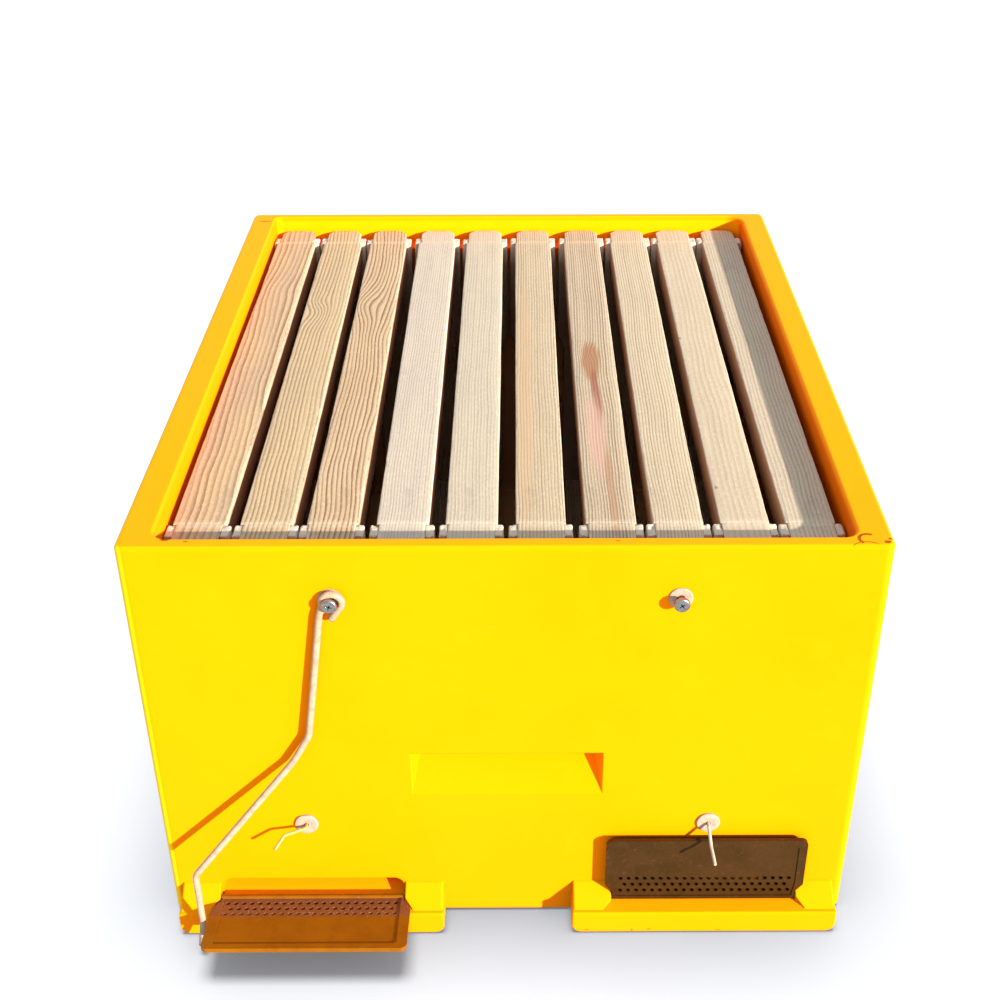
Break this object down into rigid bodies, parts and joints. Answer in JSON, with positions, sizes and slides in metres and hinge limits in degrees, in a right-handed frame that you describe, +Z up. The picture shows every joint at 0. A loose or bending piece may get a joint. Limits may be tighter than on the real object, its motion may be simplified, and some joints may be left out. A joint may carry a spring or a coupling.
{
  "type": "langstroth hive box",
  "caption": "Moulded hive body with an integral floor, hinged perforated entrance flaps, wire latches, a hanging stay wire and lift-out wooden frames.",
  "frame": {"origin": "centre of the underside of the moulded body, on the ground plane", "axes": "+Z up out of the open top, -Y out of the front wall with the entrances, +X to the right seen from the front"},
  "size_m": [0.412, 0.5471, 0.27],
  "materials": {
    "yellow_body": "satin moulded skin, bright yellow",
    "amber_flap": "satin moulded, brown",
    "brown_flap": "satin moulded, dark brown, scuffed",
    "pale_plastic": "pale moulded",
    "plated_steel": "zinc plated",
    "galvanised_wire": "galvanised, dull",
    "coated_wire": "cream coated wire",
    "frame_wood": "planed softwood, uncoated",
    "side_wood": "sawn softwood, uncoated",
    "frame_wire": "bright drawn",
    "staple_steel": "dull"
  },
  "bodies": {
    "hive": {"hive_body": "yellow_body", "flap_hinge_pins": "pale_plastic", "wall_screws": "plated_steel", "screw_washers": "pale_plastic", "latch_bushes": "pale_plastic"},
    "flap_l": {"left_flap": "amber_flap"},
    "flap_r": {"right_flap": "brown_flap"},
    "latch_l": {"left_latch_wire": "galvanised_wire"},
    "latch_r": {"right_latch_wire": "galvanised_wire"},
    "stay": {"stay_wire": "coated_wire"},
    "frame_01": {"frame_01_top_bar": "frame_wood", "frame_01_side_bars": "side_wood", "frame_01_bottom_bar": "side_wood", "frame_01_wires": "frame_wire", "frame_01_staples": "staple_steel"},
    "frame_02": {"frame_02_top_bar": "frame_wood", "frame_02_side_bars": "side_wood", "frame_02_bottom_bar": "side_wood", "frame_02_wires": "frame_wire", "frame_02_staples": "staple_steel"},
    "frame_03": {"frame_03_top_bar": "frame_wood", "frame_03_side_bars": "side_wood", "frame_03_bottom_bar": "side_wood", "frame_03_wires": "frame_wire", "frame_03_staples": "staple_steel"},
    "frame_04": {"frame_04_top_bar": "frame_wood", "frame_04_side_bars": "side_wood", "frame_04_bottom_bar": "side_wood", "frame_04_wires": "frame_wire", "frame_04_staples": "staple_steel"},
    "frame_05": {"frame_05_top_bar": "frame_wood", "frame_05_side_bars": "side_wood", "frame_05_bottom_bar": "side_wood", "frame_05_wires": "frame_wire", "frame_05_staples": "staple_steel"},
    "frame_06": {"frame_06_top_bar": "frame_wood", "frame_06_side_bars": "side_wood", "frame_06_bottom_bar": "side_wood", "frame_06_wires": "frame_wire", "frame_06_staples": "staple_steel"},
    "frame_07": {"frame_07_top_bar": "frame_wood", "frame_07_side_bars": "side_wood", "frame_07_bottom_bar": "side_wood", "frame_07_wires": "frame_wire", "frame_07_staples": "staple_steel"},
    "frame_08": {"frame_08_top_bar": "frame_wood", "frame_08_side_bars": "side_wood", "frame_08_bottom_bar": "side_wood", "frame_08_wires": "frame_wire", "frame_08_staples": "staple_steel"},
    "frame_09": {"frame_09_top_bar": "frame_wood", "frame_09_side_bars": "side_wood", "frame_09_bottom_bar": "side_wood", "frame_09_wires": "frame_wire", "frame_09_staples": "staple_steel"},
    "frame_10": {"frame_10_top_bar": "frame_wood", "frame_10_side_bars": "side_wood", "frame_10_bottom_bar": "side_wood", "frame_10_wires": "frame_wire", "frame_10_staples": "staple_steel"}
  },
  "joints": [
    {"name": "left_flap_hinge", "type": "hinge", "parent": "hive", "child": "flap_l", "pos_m": [-0.1193, -0.253, 0.018], "axis": [-1, 0, 0], "range_deg": [-8, 82]},
    {"name": "right_flap_hinge", "type": "hinge", "parent": "hive", "child": "flap_r", "pos_m": [0.1193, -0.253, 0.018], "axis": [1, 0, 0], "range_deg": [0, 90]},
    {"name": "left_latch_turn", "type": "hinge", "parent": "hive", "child": "latch_l", "pos_m": [-0.1195, -0.247, 0.074], "axis": [0, 1, 0], "range_deg": [-90, 0]},
    {"name": "right_latch_turn", "type": "hinge", "parent": "hive", "child": "latch_r", "pos_m": [0.1195, -0.247, 0.074], "axis": [0, 1, 0], "range_deg": [0, 90]},
    {"name": "stay_swing", "type": "hinge", "parent": "hive", "child": "stay", "pos_m": [-0.094, -0.2501, 0.2373], "axis": [0, 1, 0], "range_deg": [0, 75]},
    {"name": "frame_01_lift", "type": "slide", "parent": "hive", "child": "frame_01", "axis": [0, 0, 1], "range_m": [0, 0.3]},
    {"name": "frame_02_lift", "type": "slide", "parent": "hive", "child": "frame_02", "axis": [0, 0, 1], "range_m": [0, 0.3]},
    {"name": "frame_03_lift", "type": "slide", "parent": "hive", "child": "frame_03", "axis": [0, 0, 1], "range_m": [0, 0.3]},
    {"name": "frame_04_lift", "type": "slide", "parent": "hive", "child": "frame_04", "axis": [0, 0, 1], "range_m": [0, 0.3]},
    {"name": "frame_05_lift", "type": "slide", "parent": "hive", "child": "frame_05", "axis": [0, 0, 1], "range_m": [0, 0.3]},
    {"name": "frame_06_lift", "type": "slide", "parent": "hive", "child": "frame_06", "axis": [0, 0, 1], "range_m": [0, 0.3]},
    {"name": "frame_07_lift", "type": "slide", "parent": "hive", "child": "frame_07", "axis": [0, 0, 1], "range_m": [0, 0.3]},
    {"name": "frame_08_lift", "type": "slide", "parent": "hive", "child": "frame_08", "axis": [0, 0, 1], "range_m": [0, 0.3]},
    {"name": "frame_09_lift", "type": "slide", "parent": "hive", "child": "frame_09", "axis": [0, 0, 1], "range_m": [0, 0.3]},
    {"name": "frame_10_lift", "type": "slide", "parent": "hive", "child": "frame_10", "axis": [0, 0, 1], "range_m": [0, 0.3]}
  ]
}
